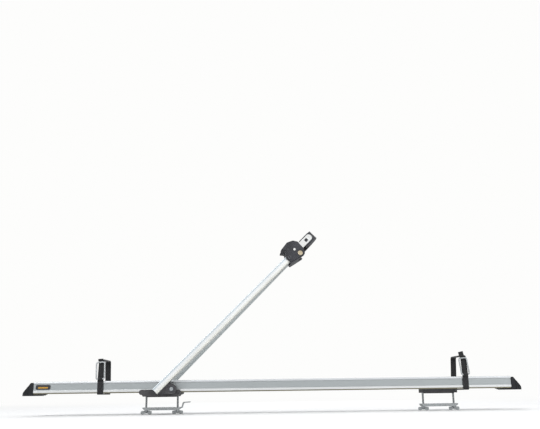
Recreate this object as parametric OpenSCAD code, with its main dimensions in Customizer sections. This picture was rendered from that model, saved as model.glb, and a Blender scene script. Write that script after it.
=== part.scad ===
/* [Tray] */
// Width of the channel across its lips
tray_w = 112; // [108:1:116]
// Height of the channel
tray_h = 33; // [31:1:36]
// Reach of the channel ahead of the front roof bar
tray_ahead = 346; // [310:1:390]
// Reach of the channel behind the rear roof bar
tray_behind = 195; // [160:1:240]
// Wall thickness of the channel
tray_wall = 2.2; // [1.8:0.1:2.6]
// Width of the flat floor under the tyre
floor_w = 58; // [50:1:62]
// Height of the tyre floor above the underside
floor_h = 11; // [10.5:0.5:12]
// Length of an end cap
cap_len = 31; // [26:1:36]

/* [Roof bars] */
// Distance between the middles of the roof bars
bar_gap = 786; // [720:1:830]
// Thickness of the roof bars that are gripped
bar_t = 28; // [22:1:32]
// Distance of a clamp bolt from the middle of its bar
bolt_reach = 44; // [42:1:47]
// Height of a foot between roof bar and channel
foot_h = 12; // [11:0.5:14]
// Length of the front foot along the channel
foot_len = 114; // [108:1:120]
// Diameter of the clamp bolts
bolt_d = 6; // [5:0.5:6.5]
// Length of a clamp plate under the bar
plate_len = 108; // [104:1:116]
// Width of a clamp plate
plate_w = 30; // [26:1:36]

/* [Arm] */
// Angle of the arm above the channel at rest
arm_angle = 45; // [38:1:50]
// Length of a leg up to its seat in the clamp head
leg_len = 539; // [490:1:580]
// Width of a leg seen from the side
leg_w = 18.5; // [17:0.5:20]
// Depth of a leg across the carrier
leg_d = 22; // [20:0.5:23]
// Wall thickness of a leg
leg_wall = 2; // [1.6:0.1:2.4]
// Free space between the channel and a leg's lower end
leg_gap = 17; // [16.5:0.5:20]
// Distance of a leg's upper end from the middle plane
leg_close = 25.5; // [25:0.5:27]
// Distance of the arm pivot behind the front bar's middle
pivot_x = 33; // [30:1:37]
// Height of the arm pivot above the roof bar
pivot_z = 21; // [20:0.5:23]
// Diameter of the pivot bolts' shoulder
pivot_d = 8; // [7:0.5:9]
// Radius of the pivot lug on an arm shoe
lug_r = 13; // [12:0.5:15]

/* [Frame clamp] */
// Diameter of the bicycle tube that is held
tube_d = 50; // [46:1:52]
// Thickness of the rubber clamp pads
pad_t = 4; // [3:0.5:4.5]
// Width of the claw along the tube
claw_w = 28; // [27:1:30]
// Thickness of the claw's side plate
claw_plate_t = 3; // [2.4:0.2:3.2]
// Thickness of the head's side walls beside the saddle
head_wall = 10; // [9.5:0.5:12]
// Lift of the saddle by its cam lever
saddle_lift = 4; // [3:0.5:4.5]
// Length of the cam lever's handle
handle_len = 70; // [55:1:85]
// Diameter of the lock barrel
lock_d = 10; // [9:0.5:11]

/* [Straps] */
// Width of a wheel strap
strap_w = 16; // [14:0.5:18]
// Thickness of a wheel strap
strap_t = 3; // [2.4:0.1:3.4]
// Distance of the front strap ahead of the front roof bar
front_strap_x = 164; // [120:1:220]
// Distance of the rear strap behind the rear roof bar
rear_strap_x = 66; // [66:1:100]
// Height of the strap loops above the roof bars
strap_top = 104; // [100:1:112]
// Thickness of the buckle wire
wire_d = 4; // [3:0.2:4.4]

/* [Hidden] */
$fn = 48;
// Clearances: loose, running and fixed
gap = 0.3;
run_fit = 0.05;
seat_fit = 0.02;
// Through cuts reach this far past a face
past = 20;

// Channel places
tray_z = foot_h;
tray_top = tray_z + tray_h;
tray_front = -tray_ahead;
tray_rear = bar_gap + tray_behind;
half_w = tray_w / 2;
slot_half = bolt_d / 2 + 1.2;
slot_lip = tray_wall;
slot_depth = floor_h - tray_wall - 0.4;
slot_wide = 9.5;
lip_h = 5.6;
sill_h = 9;
groove_d = 1.4;

// Feet and clamp places
pad_h = 3.5;
pad_proud = 1.5;
pad_reach = bolt_reach - bolt_d / 2 - 3;
plate_t = 3;
flange_h = 8;
lip_half = 9;
lip_out = 26;
nut_top = -bar_t - plate_t - run_fit;
nut_h = 9;
bolt_end = nut_top - nut_h - 4;
rear_foot_half = 34;

// End cap screws
cap_screw_r = 1.75;
cap_screw_head = 3.5;
cap_screw_in = 8;
cap_screw_y = 35;
cap_tab_t = 1.8;
cap_tab_half = 7;

// Arm pivot and leg places, u runs up the arm and w to its upper side
pivot_u = 36.4;
pivot_w = -(leg_w / 2 + 16.75);
cheek_t = 10;
cheek_out = half_w + cheek_t;
lug_in = cheek_out + gap + 0.1;
lug_out = lug_in + 15.6;
washer_t = 1.2;
leg_base = half_w + leg_gap + leg_d / 2;
leg_lean = atan((leg_base - leg_close) / leg_len);
shoe_len = 42;
rivet_r = 2.4;
rivet_places = [12, 30];
rivet_grip = 1.8;

// Clamp head places, s runs up the arm from the middle of the held tube
tube_r = tube_d / 2;
seat_r = tube_r + pad_t;
saddle_base = seat_r + 7;
saddle_rim = 8;
saddle_half = seat_r + 3.7;
saddle_w = claw_w / 2 + 1;
pocket_half = saddle_half + gap;
head_half = pocket_half + head_wall;
leg_stop = saddle_base + saddle_lift + 2;
jaw_u = leg_len + leg_stop;
neck = seat_r + 27;
hub_drop = 12;
hub_s = -(saddle_base + hub_drop);
hub_r = 4;
hub_head = 5.6;
cam_r = hub_drop - 2 * gap;
lever_half = 10;
slot_side = lever_half + 2 * gap;
claw_side = pocket_half + 3.8;
claw_top = seat_r + 28;
hinge_s = -12;
hinge_y = head_half - 4.7;
hinge_r = 2.5;
knuckle_r = 5.5;
knuckle_w = 8;
plate_high = seat_r + 14;
plate_mid = 1.5;
plate_half = 9.5;
stud = 9;
stud_s = plate_high - 19.5;
lock_s = -17;
lock_w = -13;
tongue_len = 10;
tongue_half = 2.3;
tongue_hub = lock_d / 2 + 1.4;
tail_low = lock_s - tongue_half - 3.8;
tail_side = plate_mid - 0.5;
tail_top = -13;
guide_s = -21.5;
guide_w = 6.3;
guide_r = 3;
guide_deep = 5;
screw_r = 2;
screw_head = 3;
screw_places = [[2 - saddle_base, saddle_w + 5], [-saddle_base - 2.5, saddle_w + 14.3]];

// Strap places, y across and z up
strap_gap = 0.6;
strap_side = half_w + strap_gap;
strap_low = tray_z - strap_gap;
strap_lip = tray_top + 1;
strap_peak = strap_top - strap_t;
strap_peak_half = 47;
buckle_start = 3.5;
buckle_len = strap_peak - strap_lip - 9;
buckle_bend = 4;
buckle_lift = wire_d / 2 + 1;
buckle_half = strap_w / 2 + 1 + wire_d / 2;
strap_slope = atan2(strap_peak - strap_lip, strap_side - strap_peak_half);
tail_half = strap_w * 0.45;
tail_t = strap_t * 0.8;
tail_rise = 12;
tail_sink = 1.5;

// Points and outlines
function unit(v) = v / norm(v);
function after(list, i) = list[(i + 1) % len(list)];
function before(list, i) = list[(i + len(list) - 1) % len(list)];
function turn(a) = a > 180 ? a - 360 : a < -180 ? a + 360 : a;
function rim(c, r, a) = [c[0] + r * cos(a), c[1] + r * sin(a)];
function side(p, q) = let (d = unit(q - p)) [d[1], -d[0]];

// Arc that rounds the corner q between p and s
function corner(p, q, s, r, n) =
    let (d1 = unit(p - q), d2 = unit(s - q), half = acos(d1 * d2) / 2)
    let (c = q + unit(d1 + d2) * r / sin(half))
    let (v1 = q + d1 * r / tan(half) - c, v2 = q + d2 * r / tan(half) - c)
    let (a1 = atan2(v1[1], v1[0]), sweep = turn(atan2(v2[1], v2[0]) - a1))
    [for (i = [0 : n]) rim(c, r, a1 + sweep * i / n)];

function rounded(pts, radii, n = 6) =
    [for (i = [0 : len(pts) - 1]) each corner(before(pts, i), pts[i], after(pts, i), radii[i], n)];

// Outline moved outwards by d, points run anticlockwise
function grown(pts, d) = [for (i = [0 : len(pts) - 1])
    let (n1 = side(before(pts, i), pts[i]), n2 = side(pts[i], after(pts, i)))
    pts[i] + (n1 + n2) * d / (1 + n1 * n2)];

// Extrudes an x-z outline from y0 to y1
module slab(y0, y1) {
    translate([0, y1, 0]) rotate([90, 0, 0]) linear_extrude(y1 - y0) children();
}

// Extrudes a y-z outline from x0 to x1
module run(x0, x1) {
    translate([x0, 0, 0]) rotate([90, 0, 90]) linear_extrude(x1 - x0) children();
}

// Round bar along y
module cross_bar(r, y0, y1, sides = 48) {
    translate([0, y1, 0]) rotate([90, 0, 0]) cylinder(r = r, h = y1 - y0, $fn = sides);
}

module both_sides() {
    children();
    mirror([0, 1, 0]) children();
}

module in_arm() {
    translate([pivot_x, 0, pivot_z]) rotate([0, -arm_angle, 0])
        translate([-pivot_u, 0, -pivot_w]) children();
}

module in_head() {
    in_arm() translate([jaw_u, 0, 0]) children();
}

module in_leg() {
    in_arm() translate([0, -leg_base, 0]) rotate([0, 0, leg_lean]) children();
}

module rear_bar() {
    translate([bar_gap, 0, 0]) children();
}

// Tray

module tray_half() {
    rebate_d = 2;
    rebate_h = 3;
    lip_in = half_w - 6.6;
    rise = lip_in - floor_w / 2;
    wall_in = half_w - groove_d - tray_wall;
    chamber_top = tray_h - lip_h;
    slope_at = floor_w / 2 + rise * (chamber_top - floor_h) / (tray_h - 1.8 - floor_h);
    difference() {
        polygon(concat([[0, 0], [half_w - rebate_d, 0], [half_w - rebate_d, rebate_h],
            [half_w, rebate_h], [half_w, sill_h],
            [half_w - groove_d, sill_h + 0.8], [half_w - groove_d, chamber_top - 0.8],
            [half_w, chamber_top]],
            corner([half_w, chamber_top], [half_w, tray_h], [lip_in, tray_h], 2.4, 4),
            corner([half_w, tray_h], [lip_in, tray_h], [lip_in, tray_h - 1.8], 1.6, 3),
            [[lip_in, tray_h - 1.8], [floor_w / 2, floor_h], [0, floor_h]]));
        polygon([[slot_wide + tray_wall, tray_wall], [wall_in, tray_wall], [wall_in, chamber_top],
            [slope_at + 1.4 * tray_wall, chamber_top], [floor_w / 2 + 0.4, floor_h - tray_wall - 0.4],
            [slot_wide + tray_wall, floor_h - tray_wall - 0.4]]);
        square([slot_half, slot_lip]);
        translate([0, slot_lip]) square([slot_wide, slot_depth - slot_lip]);
    }
}

module cap_screw_at() {
    for (x = [tray_front + cap_screw_in, tray_rear - cap_screw_in], y = [-cap_screw_y, cap_screw_y])
        translate([x, y, tray_z]) children();
}

module tray_channel() {
    color("silver") difference() {
        translate([0, 0, tray_z]) run(tray_front, tray_rear) {
            tray_half();
            mirror([1, 0]) tray_half();
        }
        cap_screw_at() cylinder(r = cap_screw_r + seat_fit, h = 3 * tray_wall, center = true);
    }
}

// Wedge cap drawn at the front end, its inner face at x = 0
module end_cap() {
    low = -4.7;
    top = tray_h - 2.5;
    wide = half_w - 0.5;
    dip = floor_w / 2;
    difference() {
        intersection() {
            slab(-wide, wide) polygon(rounded([[0, top], [-7.5, top], [1.8 - cap_len, low + 8],
                [-cap_len, low], [0, low]], [0.3, 3, 4, 1, 0.3]));
            translate([0, 0, -past]) linear_extrude(tray_h + 2 * past)
                polygon(rounded([[0, wide], [-cap_len, wide], [-cap_len, -wide], [0, -wide]],
                    [0.3, 9, 9, 0.3]));
        }
        run(-past, past / 4) polygon([[-dip, tray_h - 10], [dip, tray_h - 10], [dip + 14, tray_h + 5],
            [-dip - 14, tray_h + 5]]);
        for (x = [-21, -15]) translate([x, -wide - 1, low + 2]) cube([2.4, 2.2, tray_h]);
        for (x = [-21, -15]) translate([x, wide - 1.2, low + 2]) cube([2.4, 2.2, tray_h]);
    }
    both_sides() difference() {
        union() {
            translate([-1, slot_wide + tray_wall + 6, tray_wall + gap])
                cube([15, half_w - groove_d - 2 * tray_wall - slot_wide - 12, floor_h - 2 * tray_wall - 1]);
            translate([-1, cap_screw_y - cap_tab_half, -cap_tab_t])
                cube([cap_screw_in + cap_tab_half, 2 * cap_tab_half, cap_tab_t]);
        }
        translate([cap_screw_in, cap_screw_y, 0])
            cylinder(r = cap_screw_r + seat_fit, h = past, center = true);
    }
}

module front_end_cap() {
    color("black") translate([tray_front, 0, tray_z]) end_cap();
}

module rear_end_cap() {
    color("black") translate([tray_rear, 0, tray_z]) mirror([1, 0, 0]) end_cap();
}

module cap_screws() {
    color("dimgray") cap_screw_at() {
        translate([0, 0, -cap_tab_t - cap_screw_r]) cylinder(r = cap_screw_head, h = cap_screw_r);
        translate([0, 0, -cap_tab_t - 0.1]) cylinder(r = cap_screw_r, h = floor_h - tray_wall + cap_tab_t);
    }
}

// Feet

module foot_outline() {
    end_r = 7;
    reach = foot_len / 2 - end_r;
    for (x = [-reach, reach]) translate([x, tray_z + 1]) circle(r = end_r);
    translate([-reach, tray_z + 1 - end_r]) square([2 * reach, 2 * end_r]);
    polygon([[4 - reach, pad_proud], [reach - 4, pad_proud], [reach, tray_z - 4], [-reach, tray_z - 4]]);
}

module bolt_places() {
    for (x = [-bolt_reach, bolt_reach]) translate([x, 0, 0]) children();
}

module pivot_boss() {
    boss_r = 11;
    translate([pivot_x, 0, pivot_z]) cross_bar(boss_r, half_w, cheek_out);
    translate([pivot_x - boss_r, half_w, tray_z]) cube([2 * boss_r, cheek_t, pivot_z - tray_z]);
}

module front_foot() {
    color("#1c1c1e") difference() {
        union() {
            slab(-cheek_out, cheek_out) foot_outline();
            both_sides() pivot_boss();
        }
        translate([-foot_len, -half_w, tray_z]) cube([2 * foot_len, tray_w, tray_h]);
        translate([-pad_reach, 6 - half_w, 0]) cube([2 * pad_reach, tray_w - 12, pad_h]);
        bolt_places() cylinder(r = bolt_d / 2 + gap, h = 4 * foot_h, center = true);
        both_sides() translate([pivot_x, 0, pivot_z]) {
            cross_bar(5.9, half_w - 1, half_w + 5.2, 6);
            cross_bar(3 + seat_fit, half_w, cheek_out + 1);
        }
        both_sides() for (x = [-36, -12, 12])
            translate([x - 9, half_w + 2.4, pad_proud - 1]) cube([18, cheek_t - 4.8, tray_z + 1]);
    }
}

module bar_pad(half) {
    difference() {
        translate([-pad_reach, -half, 0]) cube([2 * pad_reach, 2 * half, pad_h]);
        for (y = [-half * 0.6, half * 0.6]) translate([-pad_reach - 1, y - 2, pad_h - 0.8])
            cube([2 * pad_reach + 2, 4, 1]);
    }
}

module front_bar_pad() {
    color("#2b2b2b") bar_pad(half_w - 6);
}

module clamp_bolts() {
    bolt_places() {
        translate([-6, 0.4 - slot_wide, tray_z + slot_lip]) cube([12, 2 * slot_wide - 0.8, 3.6]);
        translate([0, 0, bolt_end]) cylinder(r = bolt_d / 2, h = tray_z + slot_lip + 1 - bolt_end);
    }
}

module front_clamp_bolts() {
    color("lightgray") clamp_bolts();
}

module clamp_plate() {
    half = plate_len / 2;
    difference() {
        intersection() {
            translate([0, 0, -bar_t - flange_h]) linear_extrude(flange_h)
                polygon(rounded([[-half, -plate_w / 2], [half, -plate_w / 2], [half, plate_w / 2],
                    [-half, plate_w / 2]], [7, 7, 7, 7]));
            slab(-plate_w, plate_w)
                polygon(rounded([[-half, -bar_t - plate_t], [8 - half, -bar_t - flange_h],
                [half - 8, -bar_t - flange_h], [half, -bar_t - plate_t], [half, -bar_t], [-half, -bar_t]],
                [1, 2, 2, 1, 1, 1]));
        }
        translate([-half - 1, 2.5 - plate_w / 2, -bar_t - flange_h - 1])
            cube([plate_len + 2, plate_w - 5, flange_h - plate_t + 1]);
        bolt_places() cylinder(r = bolt_d / 2 + gap, h = 4 * bar_t, center = true);
    }
}

// Bent end that rises beside the bar and turns outwards
module plate_lip() {
    end = plate_len / 2;
    low = -bar_t - plate_t;
    slab(-lip_half, lip_half)
        polygon(rounded([[end - 5, low], [end + 4, low], [end + 8, low + 14], [end + lip_out, low + 15],
            [end + lip_out, low + 15 + plate_t], [end + 5, low + 14 + plate_t], [end + 1, low + plate_t],
            [end - 5, low + plate_t]], [0.5, 4, 3, 1, 1, 5, 2, 0.5]));
}

module front_clamp_plate() {
    color("gainsboro") {
        clamp_plate();
        plate_lip();
    }
}

module wing_nut() {
    translate([0, 0, nut_top - nut_h]) difference() {
        union() {
            cylinder(r = bolt_d / 2 + 2.4, h = nut_h);
            for (a = [0, 180]) rotate([0, 0, a]) slab(-1.3, 1.3)
                polygon(rounded([[2, -3], [8, -7], [15, -6], [15.5, 2], [9, 3], [2, 3.4]],
                    [1, 3, 3, 3, 3, 1]));
        }
        cylinder(r = bolt_d / 2 + run_fit, h = 4 * nut_h, center = true);
    }
}

module front_wing_nut_fore() {
    color("gainsboro") translate([-bolt_reach, 0, 0]) wing_nut();
}

module front_wing_nut_aft() {
    color("gainsboro") translate([bolt_reach, 0, 0]) wing_nut();
}

module rear_foot() {
    half = bolt_reach + 5;
    color("#1c1c1e") rear_bar() difference() {
        translate([0, 0, pad_proud]) linear_extrude(tray_z - pad_proud - run_fit)
            polygon(rounded([[-half, -rear_foot_half], [half, -rear_foot_half], [half, rear_foot_half],
                [-half, rear_foot_half]], [10, 10, 10, 10]));
        translate([-pad_reach, 4 - rear_foot_half, 0]) cube([2 * pad_reach, 2 * rear_foot_half - 8, pad_h]);
        bolt_places() cylinder(r = bolt_d / 2 + seat_fit, h = 4 * foot_h, center = true);
        for (y = [-22, 14]) translate([-half + 12, y, tray_z - 4]) cube([2 * half - 24, 8, 6]);
    }
}

module rear_bar_pad() {
    color("#2b2b2b") rear_bar() bar_pad(rear_foot_half - 4);
}

module rear_clamp_bolts() {
    color("lightgray") rear_bar() clamp_bolts();
}

module rear_clamp_plate() {
    color("gainsboro") rear_bar() clamp_plate();
}

module rear_wing_nut_fore() {
    color("gainsboro") rear_bar() translate([-bolt_reach, 0, 0]) wing_nut();
}

module rear_wing_nut_aft() {
    color("gainsboro") rear_bar() translate([bolt_reach, 0, 0]) wing_nut();
}

// Arm

module pivot_bolts() {
    head_y = lug_out + gap + washer_t;
    color("lightgray") both_sides() translate([pivot_x, 0, pivot_z]) difference() {
        union() {
            cross_bar(3, half_w + 0.5, cheek_out + 1);
            cross_bar(pivot_d / 2, cheek_out, head_y + 1);
            cross_bar(pivot_d / 2 + 0.8, head_y, head_y + 2);
        }
        cross_bar(1.2, head_y + 1, head_y + 3, 6);
    }
}

module pivot_washers() {
    color("#222222") both_sides() translate([pivot_x, 0, pivot_z]) difference() {
        cross_bar(pivot_d / 2 + 4.5, lug_out + gap, lug_out + gap + washer_t);
        cross_bar(pivot_d / 2 + seat_fit, lug_out, lug_out + 2 * washer_t);
    }
}

module pivot_nuts() {
    color("lightgray") both_sides() translate([pivot_x, 0, pivot_z]) difference() {
        cross_bar(5.77, half_w + 0.1, half_w + 5.1, 6);
        cross_bar(3 + seat_fit, half_w, half_w + 6);
    }
}

// Space that a leg fills, drawn on the near side
module leg_space() {
    in_leg() translate([0, -leg_d / 2, -leg_w / 2]) cube([leg_len / cos(leg_lean), leg_d, leg_w]);
}

module rivet_hole(r, y0, y1) {
    in_leg() for (u = rivet_places) translate([u, 0, 0]) cross_bar(r, y0, y1);
}

// Side outline of a shoe: the leg's end above, the round pivot lug below
module shoe_outline() {
    edge = -leg_w / 2 - gap;
    polygon(concat([[2, leg_w / 2 - 1], [2, edge]],
        [for (a = [222 : 6 : 372]) rim([pivot_u, pivot_w], lug_r, a)],
        [[shoe_len + 4, edge], [shoe_len, leg_w / 2 - 1]]));
}

module shoe() {
    difference() {
        in_arm() slab(-lug_out, -lug_in) shoe_outline();
        leg_space();
        in_leg() translate([-past, -2 * leg_d, -leg_w / 2]) cube([leg_len, 2 * leg_d, leg_w]);
        rivet_hole(rivet_r + seat_fit, 0, 3 * leg_d);
        rivet_hole(4.3, leg_d / 2 + rivet_grip, 3 * leg_d);
        translate([pivot_x, 0, pivot_z]) cross_bar(pivot_d / 2 + run_fit, -2 * lug_out, 0);
    }
}

module near_shoe() {
    color("#1c1c1e") shoe();
}

module far_shoe() {
    color("#1c1c1e") mirror([0, 1, 0]) shoe();
}

module shoe_rivets() {
    inner = leg_d / 2;
    color("gray") both_sides() in_leg() for (u = rivet_places) translate([u, 0, 0]) {
        cross_bar(3.6, inner - leg_wall - 2.2, inner - leg_wall);
        cross_bar(rivet_r, inner - leg_wall - 1, inner + rivet_grip + 1);
        cross_bar(4, inner + rivet_grip, inner + rivet_grip + 1.2);
    }
}

// Section of a leg: outer side at -y with a groove between two lips
module leg_section() {
    a = leg_d / 2;
    b = leg_w / 2;
    lip = 1.9;
    deep = 1.6;
    difference() {
        polygon(rounded([[-a, -b], [a, -b], [a, b], [-a, b]], [1.2, 2, 2, 1.2], 3));
        translate([-a - 1, lip - b]) square([deep + 1, leg_w - 2 * lip]);
        polygon(rounded([[deep + leg_wall - a, leg_wall - b], [a - leg_wall, leg_wall - b],
            [a - leg_wall, b - leg_wall], [deep + leg_wall - a, b - leg_wall]], [1, 1, 1, 1], 2));
    }
}

module leg() {
    difference() {
        in_leg() run(0, leg_len / cos(leg_lean)) leg_section();
        rivet_hole(rivet_r + seat_fit, 0, 3 * leg_d);
        in_head() translate([hub_s, 0, 0]) cross_bar(hub_r + seat_fit, -2 * head_half, 0);
    }
}

module near_leg() {
    color("silver") leg();
}

module far_leg() {
    color("silver") mirror([0, 1, 0]) leg();
}

// Clamp head

// Side outline of the head with its pointed heel, s along the arm and w across
function head_points() = [[-neck - 1.5, 5], [-neck, -15], [2 - saddle_base, -20], [-9, -25.5],
    [2, -11], [3, 15], [-5, 28.5], [7 - seat_r, 36.5], [4 - neck, 33], [13 - neck, 22]];
head_radii = [3, 2.5, 8, 9, 9, 9, 12, 10, 1, 3];

module head_body(y0, y1) {
    edge = 3;
    slab(y0 + (y0 < 0 ? edge : 0), y1 - (y1 > 0 ? edge : 0)) polygon(rounded(head_points(), head_radii));
    slab(y0, y1) polygon(rounded(grown(head_points(), -1.8), [for (r = head_radii) max(0.4, r - 1.6)]));
}

// Spaces that both head shells leave free
module head_cuts() {
    low = saddle_base + saddle_lift + 2 * gap;
    translate([-low, -pocket_half, -saddle_w - gap])
        cube([low + past, 2 * pocket_half, 2 * (saddle_w + gap)]);
    cylinder(r = seat_r + 2 * gap, h = 8 * past, center = true);
    translate([-neck - past, -slot_side, -cam_r - 2 * gap])
        cube([neck + past - saddle_base + 1, 2 * slot_side, 80]);
    translate([hub_s, 0, 0]) {
        cross_bar(hub_r + seat_fit, -head_half - 1, head_half + 1);
        for (y = [-head_half, head_half]) translate([0, y, 0]) cross_bar(hub_head + gap, -3.6, 3.6);
    }
    for (p = screw_places) translate([p[0], 0, p[1]]) {
        cross_bar(screw_r + seat_fit, -head_half - 1, head_half + 1);
        for (y = [-head_half, head_half]) translate([0, y, 0]) cross_bar(screw_head + gap, -3.4, 3.4);
    }
    translate([guide_s, 0, guide_w]) cross_bar(guide_r + seat_fit, -head_half - 1, head_half + 1);
}

// Quarter round that the lock's tongue swings through
module tongue_sweep() {
    low = tongue_half + 2 * gap;
    intersection() {
        translate([lock_s, lock_w]) circle(r = tongue_len + 2 * gap);
        translate([lock_s - low, lock_w - low]) square(past);
    }
}

module near_head_shell() {
    slot_in = claw_side - 1.1;
    slot_out = claw_side + claw_plate_t + 1.2;
    side_gap = 2 * gap;
    color("#1c1c1e") difference() {
        in_head() head_body(-head_half, 0);
        in_head() head_cuts();
        leg_space();
        in_head() {
            slab(-slot_out, -slot_in) {
                translate([tail_top - side_gap, plate_mid - plate_half - side_gap])
                    square([past - tail_top, 2 * (plate_half + side_gap)]);
                translate([tail_low - side_gap, plate_mid - plate_half - side_gap])
                    square([past - tail_low, tail_side - plate_mid + plate_half + 2 * side_gap]);
                tongue_sweep();
                translate([lock_s, lock_w]) circle(r = tongue_hub + side_gap);
            }
            translate([lock_s, 0, lock_w])
                cross_bar(lock_d / 2 + run_fit, -head_half - 1, -pocket_half - 1.5);
        }
    }
}

module far_head_shell() {
    color("#1c1c1e") difference() {
        union() {
            difference() {
                in_head() head_body(0, head_half);
                in_head() head_cuts();
                mirror([0, 1, 0]) leg_space();
                in_head() translate([hinge_s, seat_r - 8, -3 * past]) cube([past, head_half, 6 * past]);
            }
            in_head() for (z = [knuckle_w + gap, -saddle_w - gap]) translate([hinge_s, hinge_y, z])
                cylinder(r = knuckle_r, h = saddle_w - knuckle_w);
        }
        in_head() translate([hinge_s, hinge_y, 0]) {
            cylinder(r = hinge_r + seat_fit, h = 2 * saddle_w + 4, center = true);
            translate([-knuckle_r - 1, -knuckle_r - 1, -knuckle_w - gap])
                cube([past, 2 * past, 2 * (knuckle_w + gap)]);
        }
    }
}

module head_screws() {
    color("#303034") in_head() for (p = screw_places) translate([p[0], 0, p[1]]) difference() {
        union() {
            cross_bar(screw_r, -head_half + 1, head_half - 0.4);
            cross_bar(screw_head, -head_half + 0.2, -head_half + 3.4);
            cross_bar(screw_head, head_half - 3.4, head_half - 0.8, 6);
        }
        cross_bar(screw_head / 2, -head_half - 1, -head_half + 2, 6);
    }
}

module lever_bolt() {
    color("#303034") in_head() translate([hub_s, 0, 0]) difference() {
        union() {
            cross_bar(hub_r, -head_half + 1, head_half - 0.4);
            cross_bar(hub_head, -head_half + 0.2, -head_half + 3.6);
            cross_bar(hub_head, head_half - 3.6, head_half - 0.8, 6);
        }
        cross_bar(2.6, -head_half - 1, -head_half + 2.2, 6);
    }
}

// Spiral cam that lets the saddle sink as the handle swings out
function cam_points() = [for (a = [-180 : 6 : 174])
    rim([0, 0], cam_r - saddle_lift * min(abs(a), 90) / 90, a)];

module cam_lever() {
    tip = -handle_len;
    color("#232326") in_head() translate([hub_s, 0, 0]) difference() {
        union() {
            slab(-lever_half, lever_half) polygon(cam_points());
            slab(-lever_half, lever_half)
                polygon(rounded([[0, 6], [-16, 4], [tip + 14, 3], [tip, 6.5], [tip - 1, 3.5],
                [tip + 10, -2.5], [-18, -4], [0, -6.5]], [1, 6, 6, 1, 1, 8, 8, 1]));
        }
        cross_bar(hub_r + run_fit, -past, past);
        for (k = [0 : 3]) translate([tip + 14 + 6 * k, -past, 3.2]) cube([2.4, 2 * past, 4]);
    }
}

module saddle() {
    color("#2a2a2c") in_head() difference() {
        translate([-saddle_base, -saddle_half, -saddle_w])
            cube([saddle_base - saddle_rim, 2 * saddle_half, 2 * saddle_w]);
        cylinder(r = seat_r, h = 8 * past, center = true);
        both_sides() {
            translate([guide_s, 0, guide_w])
                cross_bar(guide_r + gap, saddle_half - guide_deep, saddle_half + 1);
            translate([guide_s, saddle_half - guide_deep, guide_w - guide_r - gap])
                cube([saddle_lift + gap, guide_deep + 1, 2 * (guide_r + gap)]);
            translate([guide_s + saddle_lift + gap, 0, guide_w])
                cross_bar(guide_r + gap, saddle_half - guide_deep, saddle_half + 1);
            translate([-saddle_base - 1, lever_half, 4 - saddle_w])
                cube([5, seat_r - lever_half, 2 * saddle_w - 8]);
        }
    }
}

module pad_ring(width) {
    difference() {
        cylinder(r = seat_r, h = width, center = true);
        cylinder(r = tube_r, h = width + 2, center = true);
    }
}

module saddle_pad() {
    color("#111111") in_head() intersection() {
        pad_ring(claw_w - 2);
        translate([-2 * seat_r, -seat_r, -past * 2]) cube([2 * seat_r - saddle_rim, 2 * seat_r, 4 * past]);
    }
}

module guide_pins() {
    inner_end = saddle_half - guide_deep + gap;
    color("white") in_head() translate([guide_s, 0, guide_w]) {
        cross_bar(guide_r, -head_half - 0.5, -inner_end);
        cross_bar(guide_r + 0.6, -head_half - 1.2, -head_half);
        cross_bar(guide_r, inner_end, head_half - 0.5);
    }
}

// Cross section of the claw, y across and s up, without the tube's room
function claw_points() = [[-claw_side, 9], [hinge_y - 9, hinge_s + knuckle_r + 2 * gap],
    [head_half + 0.3, hinge_s + knuckle_r + 2 * gap], [head_half + 0.3, 22], [hinge_y, seat_r + 8],
    [28, claw_top - 6], [13, claw_top], [-15, claw_top - 1], [-30, seat_r + 18], [-claw_side, seat_r + 10]];

// Stands a y-s outline along the tube
module along_tube(width) {
    translate([0, 0, -width / 2]) linear_extrude(width) rotate(90) mirror([0, 1]) children();
}

module claw() {
    color("#1c1c1e") in_head() difference() {
        union() {
            along_tube(claw_w) polygon(rounded(claw_points(), [0.5, 0.5, 2, 30, 30, 24, 24, 22, 18, 8]));
            along_tube(2 * knuckle_w) {
                translate([hinge_y, hinge_s]) circle(r = knuckle_r);
                translate([hinge_y - knuckle_r, hinge_s])
                    square([head_half + 0.3 - hinge_y + knuckle_r, 9]);
            }
            translate([stud_s - stud / 2, -claw_side - claw_plate_t - 0.6, plate_mid - stud / 2])
                cube([stud, claw_plate_t + 4, stud]);
        }
        cylinder(r = seat_r, h = 8 * past, center = true);
        translate([hinge_s, hinge_y, 0]) cylinder(r = hinge_r + run_fit, h = 8 * past, center = true);
        for (k = [-2 : 2])
            translate([claw_top - 4, -past * 2, claw_w * k / 5 - 1.4]) cube([past, 4 * past, 2.8]);
    }
}

module claw_pad() {
    color("#111111") in_head() intersection() {
        pad_ring(claw_w - 2);
        translate([tube_r * 0.45, -seat_r, -past * 2]) cube([2 * seat_r, 2 * seat_r, 4 * past]);
    }
}

// Side plate with a hooked tail that the lock's tongue swings into
module claw_plate() {
    low = plate_mid - plate_half;
    high = plate_mid + plate_half;
    color("gainsboro") in_head() difference() {
        slab(-claw_side - claw_plate_t, -claw_side) difference() {
            polygon(rounded([[tail_low, low], [plate_high, low], [plate_high, high], [tail_top, high],
                [tail_top, tail_side], [tail_low, tail_side]], [1.5, 8, 8, 2, 1, 1.5]));
            tongue_sweep();
            translate([lock_s, lock_w]) circle(r = tongue_hub + 2 * gap);
        }
        translate([stud_s - stud / 2 - seat_fit, -2 * head_half, plate_mid - stud / 2 - seat_fit])
            cube([stud + 2 * seat_fit, 2 * head_half, stud + 2 * seat_fit]);
    }
}

module claw_hinge_pin() {
    color("lightgray") in_head() translate([hinge_s, hinge_y, 0])
        cylinder(r = hinge_r, h = 2 * saddle_w + 2, center = true);
}

module lock_barrel() {
    color("goldenrod") in_head() translate([lock_s, 0, lock_w]) difference() {
        cross_bar(lock_d / 2, -head_half - 0.6, -pocket_half - 1.8);
        translate([-3, -head_half - 1, -0.7]) cube([6, 4, 1.4]);
    }
}

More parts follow.
